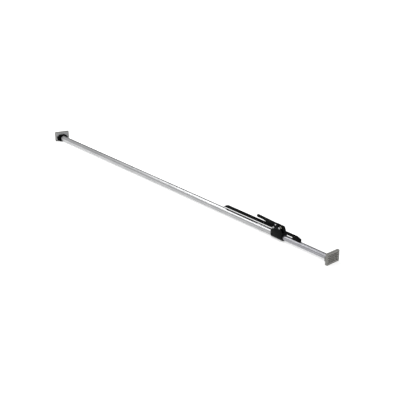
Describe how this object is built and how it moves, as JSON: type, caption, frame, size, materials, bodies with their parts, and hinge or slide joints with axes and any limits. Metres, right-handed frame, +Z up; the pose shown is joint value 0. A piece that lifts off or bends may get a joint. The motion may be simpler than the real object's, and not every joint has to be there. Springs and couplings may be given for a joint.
{
  "type": "ratcheting cargo bar",
  "caption": "Telescoping two-tube bracing bar with swivelling rubber feet, a hand lever that jacks the inner tube out and a release lever that frees it.",
  "frame": {"origin": "point where the bar's axis meets the outer face of the fixed foot", "axes": "+X along the bar towards the extending foot, +Z up through the levers, +Y to the far side of the levers from the handle spring"},
  "size_m": [2.6547, 0.1059, 0.099],
  "materials": {
    "outer_tube_steel": "drawn steel tube, bright zinc plate",
    "inner_tube_steel": "drawn steel tube, bright zinc plate",
    "black_housing": "black powder coat",
    "black_levers": "black powder coat",
    "black_nylon": "moulded, fine matt",
    "pad_rubber": "moulded, matt",
    "pad_plate_steel": "grey coat",
    "bush_nylon": "natural, satin",
    "knuckle_casting": "die cast",
    "zinc_hardware": "bright zinc plate",
    "black_hardware": "black zinc plate",
    "spring_steel": "phosphated wire",
    "hardened_plate": "hardened, oiled"
  },
  "bodies": {
    "bar": {"outer_tube": "outer_tube_steel", "front_guide_bush": "bush_nylon", "end_guide_bush": "black_nylon", "clutch_housing": "black_housing", "housing_rivets": "black_housing", "handle_pin": "zinc_hardware", "release_pin": "zinc_hardware", "pin_clips": "zinc_hardware", "handle_spacers": "bush_nylon", "release_spacer": "bush_nylon", "handle_spring": "spring_steel", "release_spring": "spring_steel", "plate_spring": "spring_steel", "fixed_knuckle": "knuckle_casting", "fixed_knuckle_rivet": "zinc_hardware"},
    "extension": {"inner_tube": "inner_tube_steel", "rear_guide_bush": "bush_nylon", "rear_bush_pin": "zinc_hardware", "extending_knuckle": "knuckle_casting", "extending_knuckle_rivet": "zinc_hardware"},
    "fixed_foot": {"fixed_tread": "pad_rubber", "fixed_plate": "pad_plate_steel", "fixed_cup": "black_nylon", "fixed_cup_rivets": "black_hardware", "fixed_swivel_pin": "black_hardware", "fixed_swivel_spacers": "black_nylon"},
    "extending_foot": {"extending_tread": "pad_rubber", "extending_plate": "pad_plate_steel", "extending_cup": "black_nylon", "extending_cup_rivets": "black_hardware", "extending_swivel_pin": "black_hardware", "extending_swivel_spacers": "black_nylon"},
    "handle": {"handle_lever": "black_levers", "handle_cam": "hardened_plate", "cam_rivet": "zinc_hardware"},
    "drive_plates": {"rear_drive_plate": "hardened_plate", "front_drive_plate": "hardened_plate"},
    "release": {"release_lever": "black_levers", "brake_plate": "hardened_plate", "brake_plate_pin": "zinc_hardware", "tail_channel": "black_levers", "brake_block": "black_nylon", "tail_rivets": "black_levers"}
  },
  "joints": [
    {"name": "tube_slide", "type": "slide", "parent": "bar", "child": "extension", "axis": [1, 0, 0], "range_m": [-0.19, 0.09]},
    {"name": "fixed_foot_swivel", "type": "hinge", "parent": "bar", "child": "fixed_foot", "pos_m": [0.02288, 0, 0], "axis": [0, 0, 1], "range_deg": [-10, 50]},
    {"name": "extending_foot_swivel", "type": "hinge", "parent": "extension", "child": "extending_foot", "pos_m": [2.6185, 0, 0], "axis": [0, 0, 1], "range_deg": [-30, 30]},
    {"name": "handle_lift", "type": "hinge", "parent": "bar", "child": "handle", "pos_m": [2.206, 0, 0.048], "axis": [0, 1, 0], "range_deg": [0, 50], "stiffness_Nm_per_rad": 0.5, "springref_deg": -28.65, "deforming": ["handle_spring"]},
    {"name": "drive_plates_slide", "type": "slide", "parent": "bar", "child": "drive_plates", "axis": [1, 0, 0], "range_m": [-0.0127, 0], "deforming": ["plate_spring"]},
    {"name": "release_tilt", "type": "hinge", "parent": "bar", "child": "release", "pos_m": [2.245, 0, 0.053], "axis": [0, -1, 0], "range_deg": [0, 4.5], "stiffness_Nm_per_rad": 1.5, "springref_deg": -11.46, "deforming": ["release_spring"]}
  ],
  "couplings": [
    {"joint": "drive_plates_slide", "follows": "handle_lift", "m_per_rad": -0.0144}
  ]
}
